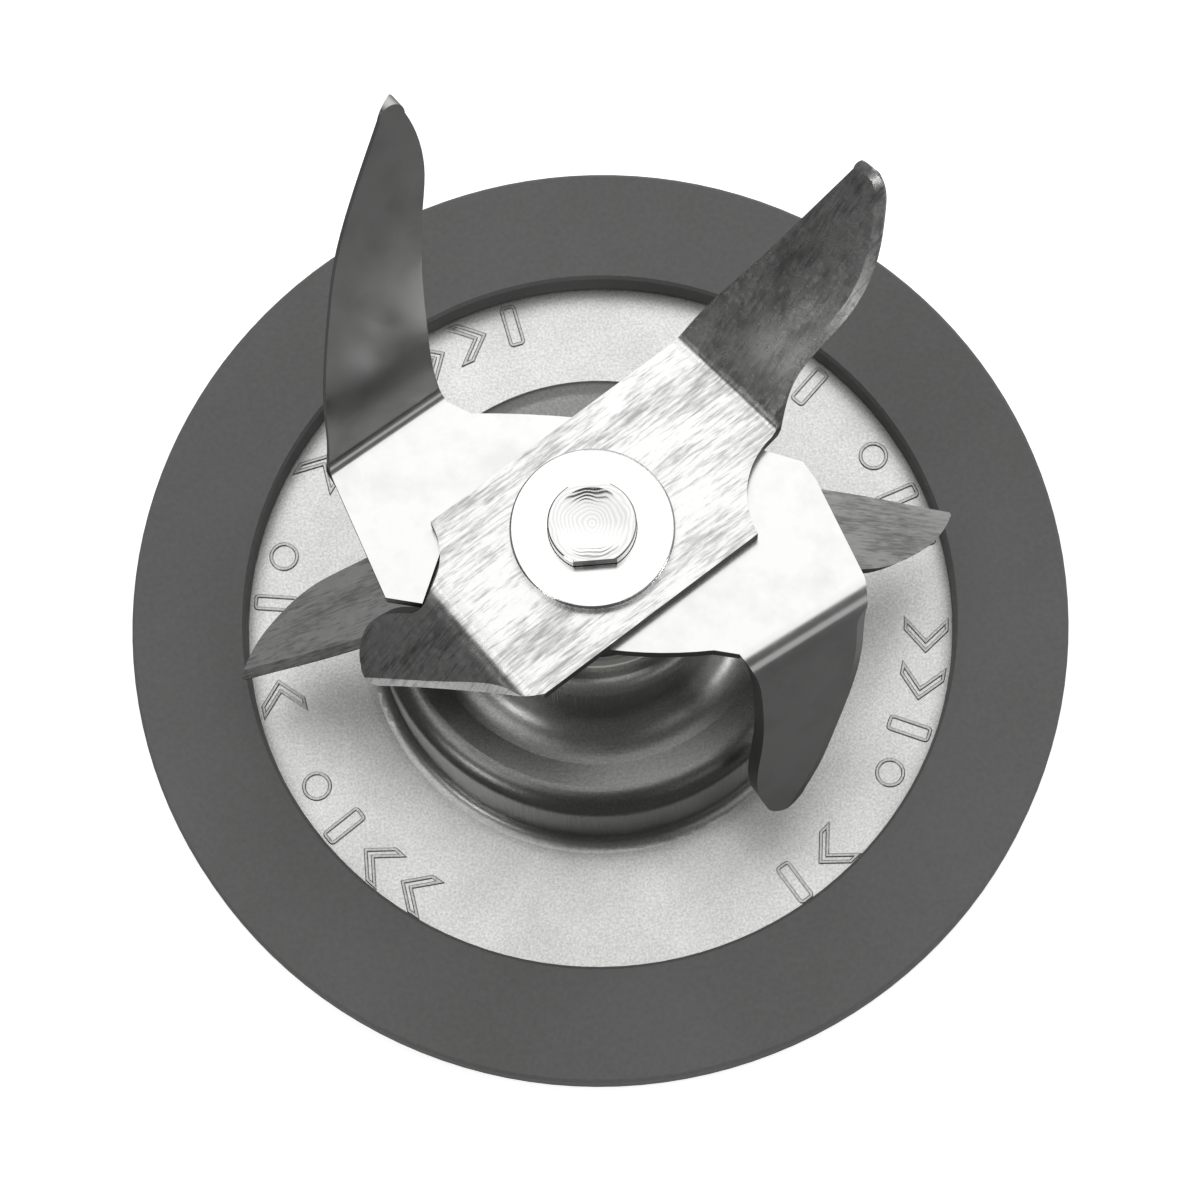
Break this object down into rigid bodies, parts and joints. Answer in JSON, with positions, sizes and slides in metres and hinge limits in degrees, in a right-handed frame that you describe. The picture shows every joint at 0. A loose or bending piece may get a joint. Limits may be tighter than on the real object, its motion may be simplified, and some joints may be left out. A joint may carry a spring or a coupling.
{
  "type": "blender blade assembly",
  "caption": "Jar base for a blender: stainless flange and tower with a rubber sealing ring, and a spindle with bent blades that turns in bushes and is driven from beneath.",
  "frame": {"origin": "on the spindle's axis, in the flange's flat underside", "axes": "+Z along the spindle, from the drive socket to the blades; +X and +Y are the picture's right and away from the camera"},
  "size_m": [0.075, 0.075, 0.0535],
  "materials": {
    "pressed_stainless": "satin, pressed stainless sheet",
    "ring_rubber": "matte dark grey",
    "turned_steel": "turned, zinc plated",
    "sintered_bronze": "matte, oil-soaked",
    "wool_felt": "pressed felt",
    "seal_rubber": "satin black",
    "hard_fibre": "matte red-brown",
    "spring_steel": "phosphated, dark",
    "white_nylon": "satin natural white",
    "turned_stainless": "turned",
    "blade_stainless": "linished along the blade",
    "polished_blade_stainless": "polished"
  },
  "bodies": {
    "base": {"base_flange": "pressed_stainless", "sealing_ring": "ring_rubber", "bearing_sleeve": "turned_steel", "upper_bush": "sintered_bronze", "oil_felt": "wool_felt", "lower_bush": "sintered_bronze", "shaft_seal": "seal_rubber", "seal_cover": "turned_steel", "steel_thrust_washer": "turned_steel", "fibre_thrust_washer": "hard_fibre", "backing_plate": "turned_steel", "sleeve_circlip": "spring_steel", "collar_washer": "white_nylon"},
    "rotor": {"spindle": "turned_stainless", "spacer_collar": "turned_stainless", "lower_blade": "blade_stainless", "middle_blade": "polished_blade_stainless", "upper_blade": "blade_stainless", "clamp_washer": "polished_blade_stainless"}
  },
  "joints": [
    {"name": "blade_spin", "type": "hinge", "parent": "base", "child": "rotor", "pos_m": [0, 0, 0.012], "axis": [0, 0, 1], "continuous": true}
  ]
}
